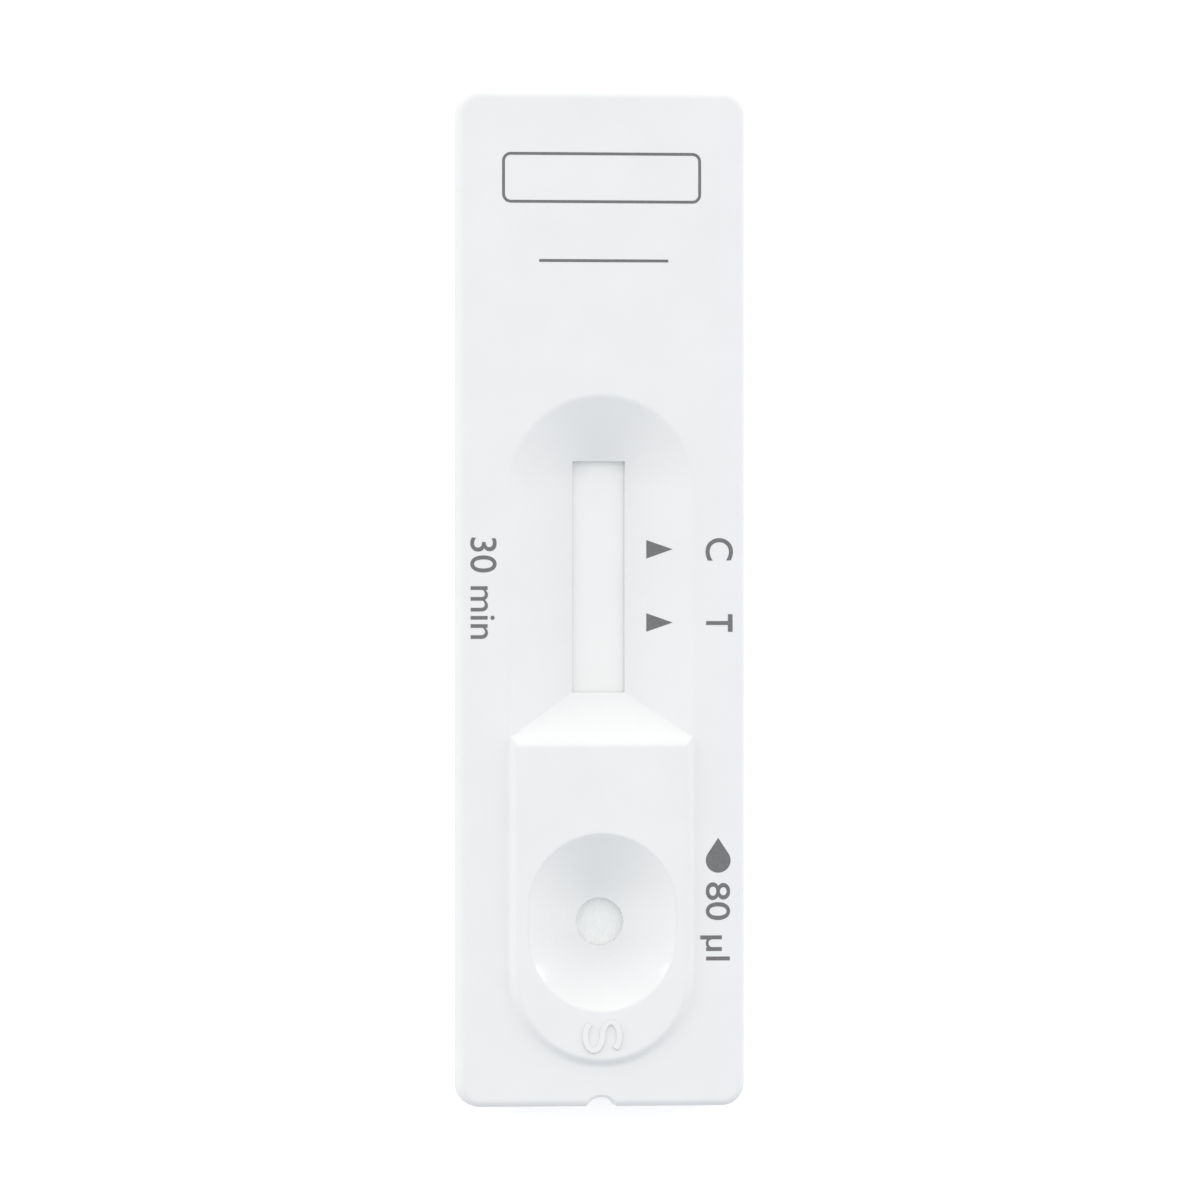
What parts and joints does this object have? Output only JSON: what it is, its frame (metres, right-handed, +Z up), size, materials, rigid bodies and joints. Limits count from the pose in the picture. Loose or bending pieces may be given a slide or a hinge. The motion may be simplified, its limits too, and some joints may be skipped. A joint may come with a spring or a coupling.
{
  "type": "lateral flow cassette",
  "caption": "Flat white lateral flow test cassette: snap-together shells round a test strip, with a sunk result window, a ramped platform and a bowl-shaped sample well.",
  "frame": {"origin": "middle of the underside, on the table", "axes": "+Z up out of the window; +Y along the housing, from the sample well towards the far end; +X across it"},
  "size_m": [0.02, 0.0702, 0.005],
  "materials": {
    "upper_shell": "fine matte moulded polystyrene, glossier in the sample well",
    "lower_shell": "fine matte moulded polystyrene",
    "backing_card": "satin card with an adhesive face",
    "membrane": "smooth matte nitrocellulose",
    "conjugate_pad": "glass fibre with dried pink conjugate",
    "sample_pad": "loose cellulose fibre",
    "absorbent_pad": "thick blotting fibre"
  },
  "bodies": {
    "root": {"upper_shell": "upper_shell", "lower_shell": "lower_shell", "backing_card": "backing_card", "membrane": "membrane", "conjugate_pad": "conjugate_pad", "sample_pad": "sample_pad", "absorbent_pad": "absorbent_pad"}
  },
  "joints": []
}
